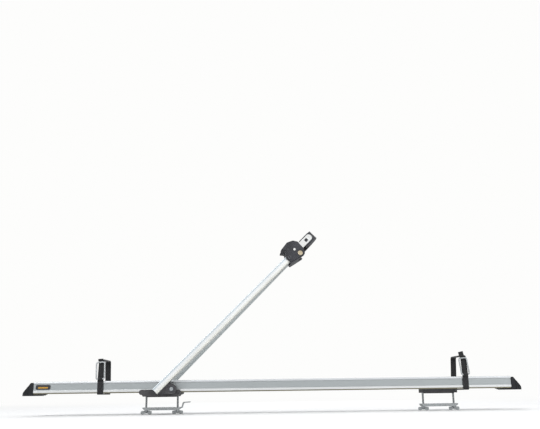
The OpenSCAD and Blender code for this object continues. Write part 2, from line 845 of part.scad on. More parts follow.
module lock_tongue() {
    color("lightgray") in_head() translate([lock_s, 0, lock_w]) difference() {
        slab(-claw_side - claw_plate_t + gap, -claw_side - gap) {
            circle(r = tongue_hub);
            translate([0, -tongue_half]) square([tongue_len, 2 * tongue_half]);
        }
        cross_bar(lock_d / 2 + seat_fit, -2 * head_half, 0);
    }
}

// Wheel straps

function strap_points() = [[-strap_side, strap_low], [strap_side, strap_low], [strap_side, strap_lip],
    [strap_peak_half, strap_peak], [-strap_peak_half, strap_peak], [-strap_side, strap_lip]];
strap_radii = [2, 2, 4, 6, 6, 4];

module in_buckle(x, tilt) {
    foot = [-strap_side, strap_lip] + buckle_start * [cos(strap_slope), sin(strap_slope)]
        + (strap_t + buckle_lift) * [-sin(strap_slope), cos(strap_slope)];
    translate([x, foot[0], foot[1]]) rotate([strap_slope, 0, 0]) rotate([0, 0, tilt]) children();
}

// Closed loop with the buckle's hinge bead and a loose tail above the buckle
module strap(x, tilt, tail, tail_turn) {
    tail_start = buckle_len + wire_d / 2 + 1.2 + tail_half * sin(tail_turn) + tail_t * sin(tail_rise);
    difference() {
        union() {
            run(x - strap_w / 2, x + strap_w / 2) difference() {
                polygon(rounded(grown(strap_points(), strap_t), [for (r = strap_radii) r + strap_t], 8));
                polygon(rounded(strap_points(), strap_radii, 8));
            }
            in_buckle(x, tilt) rotate([0, 90, 0])
                cylinder(r = wire_d / 2 + 1.6, h = strap_w - 4, center = true);
            in_buckle(x, tilt) translate([0, tail_start, -buckle_lift - tail_sink])
                rotate([tail_rise, 0, tail_turn])
                    translate([-tail_half, 0, 0]) cube([2 * tail_half, tail, tail_t]);
        }
        in_buckle(x, tilt) rotate([0, 90, 0])
            cylinder(r = wire_d / 2 + run_fit, h = 4 * strap_w, center = true);
    }
}

module wire_corner(x, y, a) {
    translate([x, y, 0]) rotate([0, 0, a]) rotate_extrude(angle = 90)
        translate([buckle_bend, 0]) circle(r = wire_d / 2, $fn = 32);
}

module buckle_frame() {
    x = buckle_half - buckle_bend;
    y = buckle_len - buckle_bend;
    for (end = [0, buckle_len]) translate([0, end, 0]) rotate([0, 90, 0])
        cylinder(r = wire_d / 2, h = 2 * x, center = true, $fn = 32);
    for (edge = [-buckle_half, buckle_half]) translate([edge, buckle_bend, 0]) rotate([-90, 0, 0])
        cylinder(r = wire_d / 2, h = buckle_len - 2 * buckle_bend, $fn = 32);
    wire_corner(x, y, 0);
    wire_corner(-x, y, 90);
    wire_corner(-x, buckle_bend, 180);
    wire_corner(x, buckle_bend, 270);
}

front_place = -front_strap_x;
rear_place = bar_gap + rear_strap_x;
front_tilt = 3;
rear_tilt = 4;
front_tail = 6;
rear_tail = 15;
rear_tail_turn = 10;

module front_strap() {
    color("#18181a") strap(front_place, front_tilt, front_tail, 0);
}

module front_buckle() {
    color("gainsboro") in_buckle(front_place, front_tilt) buckle_frame();
}

module rear_strap() {
    color("#18181a") strap(rear_place, rear_tilt, rear_tail, rear_tail_turn);
}

module rear_buckle() {
    color("gainsboro") in_buckle(rear_place, rear_tilt) buckle_frame();
}

tray_channel();
front_end_cap();
rear_end_cap();
cap_screws();
front_foot();
front_bar_pad();
front_clamp_bolts();
front_clamp_plate();
front_wing_nut_fore();
front_wing_nut_aft();
rear_foot();
rear_bar_pad();
rear_clamp_bolts();
rear_clamp_plate();
rear_wing_nut_fore();
rear_wing_nut_aft();
pivot_bolts();
pivot_washers();
pivot_nuts();
near_shoe();
far_shoe();
shoe_rivets();
near_leg();
far_leg();
near_head_shell();
far_head_shell();
head_screws();
lever_bolt();
cam_lever();
saddle();
saddle_pad();
guide_pins();
claw();
claw_pad();
claw_plate();
claw_hinge_pin();
lock_barrel();
lock_tongue();
front_strap();
front_buckle();
rear_strap();
rear_buckle();
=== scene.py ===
import math

import bmesh
import bpy
from bpy.props import FloatProperty, FloatVectorProperty, IntProperty, PointerProperty
from mathutils import Matrix, Vector


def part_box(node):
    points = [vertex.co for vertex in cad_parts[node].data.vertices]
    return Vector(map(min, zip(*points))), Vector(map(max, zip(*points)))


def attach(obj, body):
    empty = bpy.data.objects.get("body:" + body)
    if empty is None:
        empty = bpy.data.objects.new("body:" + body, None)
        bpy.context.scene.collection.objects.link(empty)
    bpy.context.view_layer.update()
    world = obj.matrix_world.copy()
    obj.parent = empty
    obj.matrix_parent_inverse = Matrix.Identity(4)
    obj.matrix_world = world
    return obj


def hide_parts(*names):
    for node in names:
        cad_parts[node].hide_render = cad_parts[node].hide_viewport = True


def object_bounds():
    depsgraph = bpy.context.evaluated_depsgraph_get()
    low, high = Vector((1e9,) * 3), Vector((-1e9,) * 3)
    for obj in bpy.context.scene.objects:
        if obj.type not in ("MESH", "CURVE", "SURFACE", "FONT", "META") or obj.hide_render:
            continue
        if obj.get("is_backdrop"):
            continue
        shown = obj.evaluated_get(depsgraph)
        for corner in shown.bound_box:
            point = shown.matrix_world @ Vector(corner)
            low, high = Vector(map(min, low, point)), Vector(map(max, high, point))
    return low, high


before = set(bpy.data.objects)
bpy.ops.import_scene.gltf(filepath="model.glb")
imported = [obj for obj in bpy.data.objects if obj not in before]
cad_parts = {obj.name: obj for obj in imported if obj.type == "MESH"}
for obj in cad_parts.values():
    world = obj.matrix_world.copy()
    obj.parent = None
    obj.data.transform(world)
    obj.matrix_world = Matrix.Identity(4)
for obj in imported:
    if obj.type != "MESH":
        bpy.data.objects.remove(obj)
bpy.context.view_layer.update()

bl_info = {
    "name": "Bike Carrier Looks",
    "version": (1, 0, 0),
    "blender": (4, 5, 0),
    "location": "View3D > Sidebar > Carrier",
    "description": "Finishes, webbing, threads and studio for a roof mounted bike carrier",
    "category": "Object",
}

MM = 0.001
ACROSS = Vector((1, 0, 0))

# Places taken from the solids, in metres: the jaw's frame (x up the arm, z across it) with its lock, and the legs
ARM_ANGLE = math.radians(45)
HEAD = Matrix.Translation((0.3997, 0, 0.42448)) @ Matrix.Rotation(-ARM_ANGLE, 4, "Y")
HEAD_HALF, LOCK_AT, LOCK_R = 0.043, (-0.017, -0.013), 0.005
LEG_LEAN = math.atan(0.0585 / 0.539)
LEG_MIDDLE, LEG_HALF = 0.0175, 0.00925

# Outline of the lock's collar in mm: out from the lock's rim, and in from the head's face
COLLAR = ((0.4, 0.4), (0.4, -0.4), (0.9, -0.9), (1.6, -0.9), (2.1, -0.3), (2.1, 0.4))

# The channel's side: how far out its sunken faces lie, and the middle and half height of each strip of tone on it; the
# strip under the lower lip is painted shade
SUNK_FROM, SUNK_TO = 0.0536, 0.0552
BAND_STRIP, PAINTED_SHADOW_STRIP, LIP_STRIP = (0.030, 0.0092), (0.0135, 0.0016), (0.0434, 0.004)

# Painted light and shade across the near leg's side, from its lower edge to its upper one: painted shade, darker and
# warm, along the lower edge, full brightness through the middle, and a painted bluish reflection towards the upper edge
LEG_PAINTED_LIGHT = ((0.0, "#d1d0cb"), (0.1, "#d4d3ce"), (0.15, "#f6f4ea"), (0.3, "#faf9f5"), (0.42, "#ffffff"),
             (0.62, "#ffffff"), (0.8, "#e3ebf1"), (1.0, "#eaf0f5"))

# Width of the clouding in each finish, and aluminium's lines drawn out to about 80 times their width
CLOUD = {"aluminium": 71.4 * MM, "nylon": 33.3 * MM, "plating": 11.1 * MM, "oxide": 4.55 * MM, "brass": 3.85 * MM,
         "film": 1.11 * MM, "floor": 500 * MM}
DRAWN_OUT = 0.012

# Rubbed edges: cosine between the eased normal and the face where wear starts and ends, and the most of it
RUB_START, RUB_END, RUB_MOST = 0.97, 0.78, 0.7
BEVEL_RAYS = 6

# Clamp bolts as in the solid, with the thread ending just below the foot's seat
BOLT_R, HEAD_LONG, HEAD_TALL, THREAD_TOP = 0.003, 0.012, 0.0036, -0.0012
BOLT_TIP, HEAD_SINK, HEAD_EDGE, BOLT_STEPS = 0.0005, 0.001, 0.0004, 28
CORE_SHARE, CREST_SHARE = 0.5, 0.3

# Strap loop, the same route as the solid: y across and z up
SIDE, LOW, LIP, PEAK, PEAK_HALF = 0.0566, 0.0114, 0.046, 0.101, 0.047
LOOP = (((-SIDE, LOW), 0.002), ((SIDE, LOW), 0.002), ((SIDE, LIP), 0.004), ((PEAK_HALF, PEAK), 0.006),
        ((-PEAK_HALF, PEAK), 0.006), ((-SIDE, LIP), 0.004))
STRAP_WIDE, STRAP_THICK = 0.016, 0.003
RING_IN, RING_OUT, RING_HALF, RING_STEPS = 0.00215, 0.00375, 0.006, 28
BUCKLE_LEN, BUCKLE_START, BUCKLE_LIFT = 0.046, 0.0035, 0.003
SLOPE = math.atan2(PEAK - LIP, SIDE - PEAK_HALF)

# Each strap's place along the channel, its buckle's tilt, its tail's length and the tail's turn
STRAPS = {"front": (-0.164, math.radians(3), 0.0062, 0.0), "rear": (0.852, math.radians(4), 0.015, math.radians(10))}
TAIL_START, TAIL_DROP, TAIL_STEPS, TAIL_RISE = 0.0042, 0.0004, 12, (4, 22)
TAIL_WIDE, TAIL_THICK = 0.88, 0.75

# Webbing's section and seams
EDGE_ROUND, EDGE_SHARE, RIB_DEPTH = 0.0006, 0.28, 0.00016
SEAM_TOP, SEAM_LOW, SEAM_IN, SEAM_SINK, STITCH_SHARE = 0.040, 0.021, 0.0025, 0.0001, 0.7

# Bare plate: the place on the channel's side that it lies on, its thickness and its stripe's share of it
PLATE_AT, PLATE_THICK, CORNER_SHARE = Vector((-0.320, -0.0546, 0.030)), 0.0006, 0.14
STRIPE_WIDE, STRIPE_TALL, STRIPE_THICK, STRIPE_OUT, STRIPE_DOWN = 0.66, 0.3, 0.5, 0.6, 0.08

# Stage: lamps as place, size and power, all aimed at one point, then floor and camera
AIM = Vector((0.30, 0.0, 0.15))
LAMPS = {"key": ((-1.6, -2.6, 2.8), 2.4, 85.0), "fill": ((2.6, -2.0, 1.6), 2.2, 32.0),
         "top": ((0.3, 0.5, 3.2), 2.6, 6.0), "rim": ((0.8, 2.8, 1.8), 1.8, 25.0),
         "card": ((1.6, -4.4, 1.0), 3.6, 8.0)}
SKY_STRENGTH = 0.7
FLOOR_MIDDLE, FLOOR_R, FLOOR_GAP = 0.3, 30.0, 0.0004
FADE_START, FADE_END = 0.9, 3.5
CAMERA_AT, CAMERA_ANGLES = (0.2265, -2.1158, 0.0060), (-2.303, 13.89, -0.781)
SENSOR, LENS, CLIP_START, CLIP_END = 36.0, 48.2, 0.05, 100.0


def linear(text):
    """Linear colour of an sRGB hex value."""
    parts = [int(text[i:i + 2], 16) / 255 for i in (1, 3, 5)]
    return tuple(c / 12.92 if c <= 0.04045 else ((c + 0.055) / 1.055) ** 2.4 for c in parts)


def dimmed(colour, share):
    """A colour times a share of its light."""
    return tuple(c * share for c in colour)


def tint(text, name, words):
    return FloatVectorProperty(name=name, description=words, subtype="COLOR", size=3, min=0, max=1,
                               default=linear(text))


def length(mm, name, words):
    return FloatProperty(name=name, description=words, default=mm * MM, min=0, unit="LENGTH")


class CarrierColours(bpy.types.PropertyGroup):
    aluminium: tint("#d3d5d6", "Channel", "Satin anodised channel")
    near_leg: tint("#dcdedf", "Near leg", "Satin anodised leg on the buckles' side")
    # The far leg is the same anodised aluminium as the near leg; its darker colour is painted shade, not a duller
    # finish
    far_leg: tint("#abb1b2", "Far leg", "Satin anodised leg on the other side, a little duller")
    lip: tint("#c5c8cb", "Channel lip", "Rolled lip along the channel's top edge")
    band: tint("#a1a6a8", "Channel band", "Sunken band along the channel's side")
    # The shadow line is painted shade in the recess under the channel's lower lip
    shadow_line: tint("#797564", "Shadow line", "Sunken line under the channel's lower lip")
    plastic: tint("#36373b", "Moulded plastic", "Clamp head, claw and lever")
    foot: tint("#464547", "Feet", "Feet and shoes, a little greyer")
    cap: tint("#1e1f22", "End caps", "Darker mouldings on the channel's ends")
    rubber: tint("#141414", "Rubber", "Pads under the feet and in the clamp")
    webbing: tint("#0f1012", "Webbing", "Woven straps")
    thread: tint("#3a3b3f", "Sewing thread", "Stitches on the straps")
    zinc: tint("#9ca0a3", "Zinc plate", "Bolts, clamp plates, nuts and buckle wire")
    nickel: tint("#d9dbdc", "Bright plate", "The claw's side plate, its pin and the guide pins")
    oxide: tint("#48494d", "Black oxide", "Washers, screws and the lever bolt")
    brass: tint("#cdc1a7", "Lock face", "Brass-toned lock barrel")
    plate: tint("#26272a", "Bare plate", "Plain plate on the channel's side")
    stripe: tint("#b98a2c", "Plate stripe", "Plain stripe on the bare plate")
    floor: tint("#f2f2f0", "Floor", "Pale studio floor")
    backdrop: tint("#fdfdfc", "Backdrop", "Pale backdrop behind the floor")
    sky_low: tint("#aaaeb3", "Low light", "Soft light from the sides")
    sky_high: tint("#f7f9ff", "High light", "Soft light from above")


class CarrierSizes(bpy.types.PropertyGroup):
    weave: length(1.6, "Weave", "Pitch of the webbing's ribs")
    stitch: length(3.2, "Stitch", "Pitch of the stitches")
    stitch_radius: length(0.45, "Stitch radius", "Radius of the sewing thread")
    pitch: length(1.0, "Thread pitch", "Pitch of the clamp bolts' thread")
    grain: length(0.9, "Grain", "Width of the moulded plastic's grain")
    rubber_grain: length(0.54, "Rubber grain", "Width of the rubber's grain")
    streak: length(2.5, "Streak", "Width of the drawn lines on aluminium")
    plate_width: length(40, "Plate width", "Width of the bare plate on the channel")
    plate_height: length(13, "Plate height", "Height of the bare plate on the channel")
    strap_steps: IntProperty(name="Strap steps", description="Steps round each bend of a strap",
                             default=10, min=3, max=24)


# Node helpers

def add(tree, kind, inputs=(), stops=(), **settings):
    """Adds a node, sets its settings and its ramp's stops, and fills or links its inputs."""
    made = tree.nodes.new(kind)
    for key, value in settings.items():
        setattr(made, key, value)
    for place, _ in stops[2:]:
        made.color_ramp.elements.new(place)
    if stops:
        for stop, (place, tone) in zip(made.color_ramp.elements, stops):
            stop.position = place
            stop.color = (*tone, 1) if isinstance(tone, tuple) else (tone, tone, tone, 1)
    for key, value in dict(inputs).items():
        socket = made.inputs[key]
        if isinstance(value, bpy.types.NodeSocket):
            tree.links.new(value, socket)
        else:
            socket.default_value = value
    return made


def blank(name, **values):
    """A fresh material with its tree, shader and object coordinates."""
    made = bpy.data.materials.new(name)
    made.use_nodes = True
    tree = made.node_tree
    shader = tree.nodes["Principled BSDF"]
    for key, value in values.items():
        shader.inputs[key.replace("_", " ")].default_value = value
    coords = add(tree, "ShaderNodeTexCoord").outputs["Object"]
    return made, tree, shader, coords


def background_rays(tree):
    """One for the rays that show the backdrop: from the camera, mirrored or passed through."""
    rays = add(tree, "ShaderNodeLightPath").outputs
    both = add(tree, "ShaderNodeMath", {0: rays["Is Camera Ray"], 1: rays["Is Glossy Ray"]},
               operation="MAXIMUM").outputs[0]
    return add(tree, "ShaderNodeMath", {0: both, 1: rays["Is Transmission Ray"]}, operation="MAXIMUM").outputs[0]


def finish_with(tree, shader, colour=None, roughness=None, height=None, depth=0.0, edge=0.0, worn=None):
    """Links colour, roughness and a bump, on edges eased by a small radius and rubbed to a worn colour."""
    normal = None
    if edge:
        normal = add(tree, "ShaderNodeBevel", {"Radius": edge}, samples=BEVEL_RAYS).outputs["Normal"]
    if worn:
        flat = add(tree, "ShaderNodeNewGeometry").outputs["Normal"]
        turn = add(tree, "ShaderNodeVectorMath", {0: normal, 1: flat}, operation="DOT_PRODUCT").outputs["Value"]
        rub = add(tree, "ShaderNodeMapRange", {"Value": turn, "From Min": RUB_START, "From Max": RUB_END,
                                               "To Max": RUB_MOST}).outputs["Result"]
        colour = add(tree, "ShaderNodeMix", {"Factor": rub, 6: colour, 7: (*worn, 1)}, data_type="RGBA").outputs[2]
    if colour is not None:
        tree.links.new(colour, shader.inputs["Base Color"])
    if roughness is not None:
        tree.links.new(roughness, shader.inputs["Roughness"])
    if height is not None:
        bump = {"Height": height, "Distance": depth, "Strength": 1.0}
        if normal is not None:
            bump["Normal"] = normal
        normal = add(tree, "ShaderNodeBump", bump).outputs["Normal"]
    if normal is not None:
        tree.links.new(normal, shader.inputs["Normal"])


# Finishes

def anodised_aluminium(name, colour, streak, turn=0.0, lean=0.0, strips=(), painted_light=()):
    """Extruded and anodised: a soft grey sheen with faint lines along its length, drawn wide enough to show, with
    painted light and shade across a leg's width where given.
    """
    made, tree, shader, coords = blank(name, Metallic=1.0)
    along = add(tree, "ShaderNodeMapping", {"Vector": coords, "Rotation": (0, turn, 0)}).outputs["Vector"]
    place = add(tree, "ShaderNodeSeparateXYZ", {"Vector": along}).outputs
    across = add(tree, "ShaderNodeMath", {0: place["Y"]}, operation="ABSOLUTE").outputs[0]
    side = add(tree, "ShaderNodeMath", {0: place["X"], 1: math.tan(lean), 2: across},
               operation="MULTIPLY_ADD").outputs[0]
    run = add(tree, "ShaderNodeMath", {0: place["X"], 1: DRAWN_OUT}, operation="MULTIPLY").outputs[0]
    drawn = add(tree, "ShaderNodeCombineXYZ", {"X": run, "Y": side, "Z": place["Z"]}).outputs["Vector"]
    lines = add(tree, "ShaderNodeTexNoise", {"Vector": drawn, "Scale": 1 / streak, "Detail": 2.0}).outputs["Fac"]
    cloud = add(tree, "ShaderNodeTexNoise", {"Vector": coords, "Scale": 1 / CLOUD["aluminium"],
                                             "Detail": 4.0}).outputs["Fac"]
    shade = add(tree, "ShaderNodeValToRGB", {"Fac": lines},
                ((0.3, dimmed(colour, 0.92)), (0.7, colour))).outputs["Color"]
    if strips:
        outer = add(tree, "ShaderNodeMath", {0: across, 1: SUNK_FROM}, operation="GREATER_THAN").outputs[0]
        inner = add(tree, "ShaderNodeMath", {0: across, 1: SUNK_TO}, operation="LESS_THAN").outputs[0]
        sunk = add(tree, "ShaderNodeMath", {0: inner, 1: outer}, operation="MULTIPLY").outputs[0]
        for (level, reach), is_sunk, paint in strips:
            height = add(tree, "ShaderNodeMath", {0: place["Z"], 1: level, 2: reach}, operation="COMPARE").outputs[0]
            here = add(tree, "ShaderNodeMath", {0: sunk if is_sunk else outer, 1: height},
                       operation="MULTIPLY").outputs[0]
            shade = add(tree, "ShaderNodeMix", {"Factor": here, 6: shade, 7: (*paint, 1)},
                        data_type="RGBA").outputs[2]
    # Painted light and shade across the leg's width, multiplied onto its colour
    if painted_light:
        level = add(tree, "ShaderNodeMapRange", {"Value": place["Z"], "From Min": LEG_MIDDLE - LEG_HALF,
                                                 "From Max": LEG_MIDDLE + LEG_HALF}).outputs["Result"]
        painted_light_tone = add(tree, "ShaderNodeValToRGB", {"Fac": level}, painted_light).outputs["Color"]
        shade = add(tree, "ShaderNodeMix", {"Factor": 1.0, 6: shade, 7: painted_light_tone}, data_type="RGBA",
                    blend_type="MULTIPLY").outputs[2]
    gloss = add(tree, "ShaderNodeValToRGB", {"Fac": cloud}, ((0.3, 0.32), (0.7, 0.44))).outputs["Color"]
    finish_with(tree, shader, shade, gloss, lines, depth=0.02 * MM, edge=0.5 * MM)
    return made


def moulded_plastic(name, colour, grain, dull=(0.58, 0.72), depth=0.06 * MM, edge=1.2 * MM):
    """Moulded nylon or rubber: near black, finely grained, with a dull sheen on eased edges that rub a little paler."""
    made, tree, shader, coords = blank(name, Specular_IOR_Level=0.25)
    grit = add(tree, "ShaderNodeTexNoise", {"Vector": coords, "Scale": 1 / grain, "Detail": 2.0}).outputs["Fac"]
    cloud = add(tree, "ShaderNodeTexNoise", {"Vector": coords, "Scale": 1 / CLOUD["nylon"],
                                             "Detail": 5.0}).outputs["Fac"]
    shade = add(tree, "ShaderNodeValToRGB", {"Fac": cloud},
                ((0.35, dimmed(colour, 0.8)), (0.7, dimmed(colour, 1.35)))).outputs["Color"]
    gloss = add(tree, "ShaderNodeValToRGB", {"Fac": cloud}, ((0.3, dull[0]), (0.7, dull[1]))).outputs["Color"]
    finish_with(tree, shader, shade, gloss, grit, depth, edge, worn=dimmed(colour, 2.2))
    return made


def plated_steel(name, colour):
    """Zinc or nickel plated steel: bright and cool, faintly clouded."""
    made, tree, shader, coords = blank(name, Metallic=0.75)
    cloud = add(tree, "ShaderNodeTexNoise", {"Vector": coords, "Scale": 1 / CLOUD["plating"],
                                             "Detail": 5.0}).outputs["Fac"]
    warm = (colour[0] * 0.96, colour[1] * 0.95, colour[2] * 0.92)
    shade = add(tree, "ShaderNodeValToRGB", {"Fac": cloud}, ((0.35, warm), (0.65, colour))).outputs["Color"]
    gloss = add(tree, "ShaderNodeValToRGB", {"Fac": cloud}, ((0.3, 0.2), (0.7, 0.36))).outputs["Color"]
    finish_with(tree, shader, shade, gloss, cloud, depth=0.03 * MM, edge=0.3 * MM)
    return made


def black_oxide(name, colour):
    """Blackened steel: dark with a faint oily sheen, and bare steel showing at rubbed edges."""
    made, tree, shader, coords = blank(name, Metallic=0.8)
    cloud = add(tree, "ShaderNodeTexNoise", {"Vector": coords, "Scale": 1 / CLOUD["oxide"],
                                             "Detail": 4.0}).outputs["Fac"]
    shade = add(tree, "ShaderNodeValToRGB", {"Fac": cloud},
                ((0.3, dimmed(colour, 0.75)), (0.7, dimmed(colour, 1.4)))).outputs["Color"]
    gloss = add(tree, "ShaderNodeValToRGB", {"Fac": cloud}, ((0.3, 0.32), (0.7, 0.5))).outputs["Color"]
    finish_with(tree, shader, shade, gloss, cloud, depth=0.02 * MM, edge=0.3 * MM, worn=dimmed(colour, 3.0))
    return made


def turned_brass(name, colour):
    """Turned lock face: warm metal with rubbed patches."""
    made, tree, shader, coords = blank(name, Metallic=1.0)
    cloud = add(tree, "ShaderNodeTexNoise", {"Vector": coords, "Scale": 1 / CLOUD["brass"],
                                             "Detail": 4.0}).outputs["Fac"]
    shade = add(tree, "ShaderNodeValToRGB", {"Fac": cloud},
                ((0.3, dimmed(colour, 0.7)), (0.65, colour))).outputs["Color"]
    gloss = add(tree, "ShaderNodeValToRGB", {"Fac": cloud}, ((0.3, 0.26), (0.7, 0.42))).outputs["Color"]
    finish_with(tree, shader, shade, gloss, cloud, depth=0.03 * MM, edge=0.3 * MM)
    return made


def woven_webbing(name, colour, weave):
    """Woven polyester: matt ribs along the strap crossed by fine picks. Picks are drawn coarse enough to show."""
    made, tree, shader, _ = blank(name, Sheen_Weight=0.15, Roughness=0.82)
    strip = add(tree, "ShaderNodeUVMap", uv_map="strap").outputs["UV"]
    place = add(tree, "ShaderNodeSeparateXYZ", {"Vector": strip}).outputs
    beat = 2 * math.pi / weave
    ribs = add(tree, "ShaderNodeMath", {0: place["X"], 1: beat}, operation="MULTIPLY").outputs[0]
    picks = add(tree, "ShaderNodeMath", {0: place["Y"], 1: beat}, operation="MULTIPLY").outputs[0]
    slant = add(tree, "ShaderNodeMath", {0: ribs, 1: picks}, operation="ADD").outputs[0]
    twill = add(tree, "ShaderNodeMath", {0: slant}, operation="SINE").outputs[0]
    cords = add(tree, "ShaderNodeMath", {0: ribs}, operation="SINE").outputs[0]
    cloth = add(tree, "ShaderNodeMath", {0: twill, 1: 0.25, 2: 0.5}, operation="MULTIPLY_ADD").outputs[0]
    cloth = add(tree, "ShaderNodeMath", {0: cords, 1: 0.2, 2: cloth}, operation="MULTIPLY_ADD").outputs[0]
    shade = add(tree, "ShaderNodeValToRGB", {"Fac": cloth},
                ((0.1, dimmed(colour, 0.55)), (0.9, dimmed(colour, 1.7)))).outputs["Color"]
    finish_with(tree, shader, shade, height=cloth, depth=0.3 * MM)
    return made


def plain_film(name, colour, roughness):
    """Printed film or bonded thread: an even colour with a faint orange-peel gloss."""
    made, tree, shader, coords = blank(name, Roughness=roughness)
    peel = add(tree, "ShaderNodeTexNoise", {"Vector": coords, "Scale": 1 / CLOUD["film"],
                                            "Detail": 1.0}).outputs["Fac"]
    shade = add(tree, "ShaderNodeValToRGB", {"Fac": peel},
                ((0.3, dimmed(colour, 0.9)), (0.7, colour))).outputs["Color"]
    finish_with(tree, shader, shade, height=peel, depth=0.02 * MM)
    return made


# Mesh helpers

def new_piece(name, mesh, material, body):
    made = bpy.data.objects.new(name, mesh)
    bpy.context.scene.collection.objects.link(made)
    if material:
        mesh.materials.append(material)
    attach(made, body)
    return made


def mesh_from(name, build, smooth=True):
    shape = bmesh.new()
    build(shape)
    mesh = bpy.data.meshes.new(name)
    shape.to_mesh(mesh)
    shape.free()
    if smooth:
        mesh.shade_smooth()
    return mesh


def dress(nodes, material):
    for name in nodes:
        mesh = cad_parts[name].data
        mesh.materials.clear()
        mesh.materials.append(material)


def turned(shape, place, outline, closed, steps=40):
    """Turns an outline of radius and height round the upright axis of a place."""
    rings = []
    for radius, height in outline:
        if radius < 1e-6:
            rings.append([shape.verts.new(place @ Vector((0, 0, height)))] * steps)
            continue
        angles = [2 * math.pi * k / steps for k in range(steps)]
        spots = [Vector((radius * math.cos(a), radius * math.sin(a), height)) for a in angles]
        rings.append([shape.verts.new(place @ spot) for spot in spots])
    pairs = list(zip(rings, rings[1:] + rings[:1])) if closed else list(zip(rings, rings[1:]))
    for here, there in pairs:
        for k in range(steps):
            n = (k + 1) % steps
            corners = list(dict.fromkeys((here[k], here[n], there[n], there[k])))
            if len(corners) > 2:
                shape.faces.new(corners)
    bmesh.ops.recalc_face_normals(shape, faces=shape.faces)


def cut_bolts(shape, places, low, high, pitch):
    """Clamp bolts between two heights, with the core of their thread, plain necks and T-heads."""
    under, core = high.z - HEAD_TALL, BOLT_R - CORE_SHARE * pitch
    outline = [(0, low.z), (core - BOLT_TIP, low.z), (core, low.z + BOLT_TIP), (core, THREAD_TOP),
               (BOLT_R, THREAD_TOP + BOLT_R - core), (BOLT_R, under + HEAD_SINK), (0, under + HEAD_SINK)]
    for x in places:
        turned(shape, Matrix.Translation((x, 0, 0)), outline, False, BOLT_STEPS)
        made = bmesh.ops.create_cube(shape, size=1.0)["verts"]
        bmesh.ops.scale(shape, vec=(HEAD_LONG, high.y - low.y, HEAD_TALL), verts=made)
        bmesh.ops.translate(shape, vec=(x, 0, under + HEAD_TALL / 2), verts=made)
        edges = list(dict.fromkeys(edge for vert in made for edge in vert.link_edges))
        bmesh.ops.bevel(shape, geom=edges, offset=HEAD_EDGE, segments=2, affect="EDGES")
    bmesh.ops.recalc_face_normals(shape, faces=shape.faces)


def slab(shape, wide, tall, thick, centre):
    """A thin upright plate with rounded corners."""
    made = bmesh.ops.create_cube(shape, size=1.0)["verts"]
    bmesh.ops.scale(shape, vec=(wide, thick, tall), verts=made)
    bmesh.ops.translate(shape, vec=centre, verts=made)
    short = [e for e in shape.edges if abs(e.verts[0].co.y - e.verts[1].co.y) > thick / 2]
    bmesh.ops.bevel(shape, geom=short, offset=tall * CORNER_SHARE, segments=4, affect="EDGES")


# Node trees for what repeats

def baked(name, mesh, tree, values, body):
    """Runs a node tree on a mesh and keeps the result as a plain piece."""
    carrier = bpy.data.objects.new(name, mesh)
    bpy.context.scene.collection.objects.link(carrier)
    modifier = carrier.modifiers.new("Nodes", "NODES")
    modifier.node_group = tree
    for item in tree.interface.items_tree:
        if item.item_type == "SOCKET" and item.in_out == "INPUT" and item.name in values:
            modifier[item.identifier] = values[item.name]
    bpy.context.view_layer.update()
    ready = carrier.evaluated_get(bpy.context.evaluated_depsgraph_get())
    result = bpy.data.meshes.new_from_object(ready)
    result.name = name
    carrier.modifiers.remove(modifier)
    bpy.data.objects.remove(carrier)
    if not result.polygons:
        raise RuntimeError("the node tree made nothing for " + name)
    return new_piece(name, result, None, body)


def new_tree(name, *inputs):
    tree = bpy.data.node_groups.new(name, "GeometryNodeTree")
    tree.interface.new_socket("Geometry", in_out="INPUT", socket_type="NodeSocketGeometry")
    for label, kind in inputs:
        tree.interface.new_socket(label, in_out="INPUT", socket_type=kind)
    tree.interface.new_socket("Geometry", in_out="OUTPUT", socket_type="NodeSocketGeometry")
    return tree, add(tree, "NodeGroupInput").outputs


def close_tree(tree, instances, material):
    real = add(tree, "GeometryNodeRealizeInstances", {"Geometry": instances}).outputs["Geometry"]
    done = add(tree, "GeometryNodeSetMaterial", {"Geometry": real, "Material": material}).outputs["Geometry"]
    add(tree, "NodeGroupOutput", {"Geometry": done})
    return tree


def stitch_tree():
    """Short stitches laid end to end along the edges that come in."""
    tree, given = new_tree("Stitches", ("Pitch", "NodeSocketFloat"), ("Radius", "NodeSocketFloat"),
                           ("Material", "NodeSocketMaterial"))
    path = add(tree, "GeometryNodeMeshToCurve", {"Mesh": given["Geometry"]}).outputs["Curve"]
    path = add(tree, "GeometryNodeResampleCurve", {"Curve": path, "Length": given["Pitch"]},
               mode="LENGTH").outputs["Curve"]
    heading = add(tree, "GeometryNodeInputTangent").outputs["Tangent"]
    turn = add(tree, "FunctionNodeAlignRotationToVector", {"Vector": heading}, axis="Z").outputs["Rotation"]
    span = add(tree, "ShaderNodeMath", {0: given["Pitch"], 1: STITCH_SHARE}, operation="MULTIPLY").outputs[0]
    stitch = add(tree, "GeometryNodeMeshCylinder", {"Vertices": 6, "Side Segments": 1, "Radius": given["Radius"],
                                                    "Depth": span}).outputs["Mesh"]
    laid = add(tree, "GeometryNodeInstanceOnPoints", {"Points": path, "Instance": stitch,
                                                      "Rotation": turn}).outputs["Instances"]
    return close_tree(tree, laid, given["Material"])


